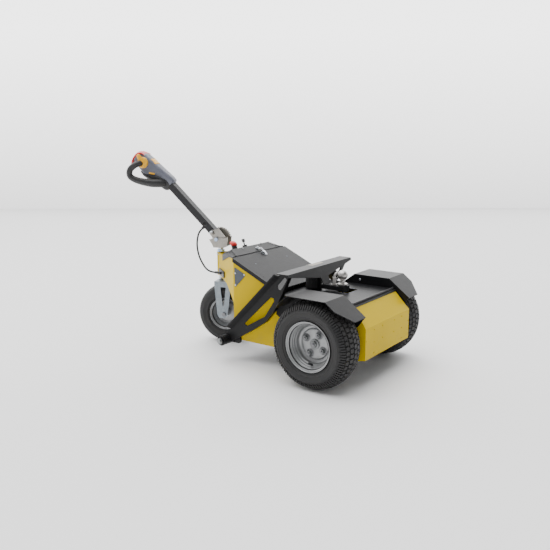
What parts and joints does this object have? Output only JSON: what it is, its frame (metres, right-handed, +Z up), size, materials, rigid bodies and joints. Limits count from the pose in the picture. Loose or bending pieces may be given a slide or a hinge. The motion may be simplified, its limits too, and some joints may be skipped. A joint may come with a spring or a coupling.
{
  "type": "electric tow tractor",
  "caption": "Pedestrian electric tow tractor with a steered front wheel and tiller, two large rear tyres and a lifting frame that carries a tow ball over the deck.",
  "frame": {"origin": "centre of the whole object's box on the floor", "axes": "+X forward to the steered wheel and tiller, +Y to the left, +Z up"},
  "size_m": [1.5299, 0.7794, 1.0452],
  "materials": {
    "yellow_paint": "gloss",
    "black_coat": "satin",
    "grey_coat": "satin",
    "silver_rim": "satin",
    "zinc": "satin",
    "nickel": "satin",
    "rod_chrome": "polished",
    "tyre_rubber": "matte",
    "black_rubber": "matte",
    "black_plastic": "matte",
    "grey_plastic": "satin",
    "red_plastic": "gloss",
    "yellow_plastic": "gloss",
    "battery_case": "matte",
    "drive_casting": "matte"
  },
  "bodies": {
    "chassis": {"side_panel_left": "yellow_paint", "side_panel_right": "yellow_paint", "floor_pan": "black_coat", "bulkhead": "black_coat", "steering_head": "yellow_paint", "rear_cover": "yellow_paint", "deck": "black_coat", "fender_left": "black_coat", "fender_right": "black_coat", "front_cover": "black_coat", "hood_hinge": "black_coat", "stop_base": "black_plastic", "stop_button": "red_plastic", "key_switch": "black_plastic", "cable_socket": "black_plastic", "battery": "battery_case", "drive_unit": "drive_casting", "axle_tube_left": "black_coat", "axle_tube_right": "black_coat", "lift_trunnion": "black_coat", "pivot_bracket_left": "black_coat", "pivot_bracket_right": "black_coat", "cable_lower": "black_rubber"},
    "wheel_left": {"tyre_left": "tyre_rubber", "rim_left": "silver_rim", "hub_left": "zinc"},
    "wheel_right": {"tyre_right": "tyre_rubber", "rim_right": "silver_rim", "hub_right": "zinc"},
    "steering": {"fork": "zinc", "front_axle_bolt": "zinc", "stem": "zinc", "tiller_bracket": "nickel", "quadrant": "nickel", "pivot_bolt": "zinc", "cable_upper": "black_rubber"},
    "wheel_front": {"tyre_front": "tyre_rubber", "rim_front": "silver_rim", "hub_front": "zinc"},
    "tiller": {"tiller_tube": "black_coat", "tiller_cheek_left": "nickel", "tiller_cheek_right": "nickel", "cable_gland": "black_plastic", "head_housing": "grey_plastic", "head_underside": "grey_plastic", "belly_button": "red_plastic", "thumb_rotor_left": "yellow_plastic", "thumb_rotor_right": "yellow_plastic", "grip_left": "black_rubber", "grip_right": "black_rubber"},
    "lift_frame": {"arm_left": "black_coat", "arm_right": "black_coat", "beam": "black_coat", "tongue": "black_coat", "tow_ball": "zinc", "lift_boot": "black_rubber"},
    "lift_barrel": {"lift_barrel": "grey_coat"},
    "lift_rod": {"lift_rod": "rod_chrome"},
    "hood": {"hood": "black_coat", "hood_latch": "black_plastic"}
  },
  "joints": [
    {"name": "wheel_left_spin", "type": "hinge", "parent": "chassis", "child": "wheel_left", "pos_m": [-0.559, 0.309, 0.2055], "axis": [0, 1, 0], "continuous": true},
    {"name": "wheel_right_spin", "type": "hinge", "parent": "chassis", "child": "wheel_right", "pos_m": [-0.559, -0.309, 0.2055], "axis": [0, 1, 0], "continuous": true},
    {"name": "steering", "type": "hinge", "parent": "chassis", "child": "steering", "pos_m": [0.26, 0, 0.435], "axis": [0, 0, 1], "range_deg": [-110, 70], "deforming": ["cable_lower"]},
    {"name": "wheel_front_spin", "type": "hinge", "parent": "steering", "child": "wheel_front", "pos_m": [0.22617, -0.01231, 0.162], "axis": [-0.342, 0.9397, 0], "continuous": true},
    {"name": "tiller_tilt", "type": "hinge", "parent": "steering", "child": "tiller", "pos_m": [0.27175, 0.00428, 0.569], "axis": [-0.342, 0.9397, 0], "range_deg": [-40, 25], "deforming": ["cable_upper"]},
    {"name": "lift", "type": "hinge", "parent": "chassis", "child": "lift_frame", "pos_m": [0.003, 0, 0.115], "axis": [0, -1, 0], "range_deg": [-10, 0]},
    {"name": "barrel_swing", "type": "hinge", "parent": "chassis", "child": "lift_barrel", "pos_m": [-0.346, 0, 0.16], "axis": [0, -1, 0], "range_deg": [-11, 0.5]},
    {"name": "rod_slide", "type": "slide", "parent": "lift_barrel", "child": "lift_rod", "axis": [0, 0, 1], "range_m": [-0.001, 0.0625]},
    {"name": "hood", "type": "hinge", "parent": "chassis", "child": "hood", "pos_m": [-0.279, 0, 0.38992], "axis": [0, -1, 0], "range_deg": [0, 60]}
  ],
  "couplings": [
    {"joint": "barrel_swing", "follows": "lift", "ratio": 1.04},
    {"joint": "rod_slide", "follows": "lift", "m_per_rad": -0.3507}
  ]
}
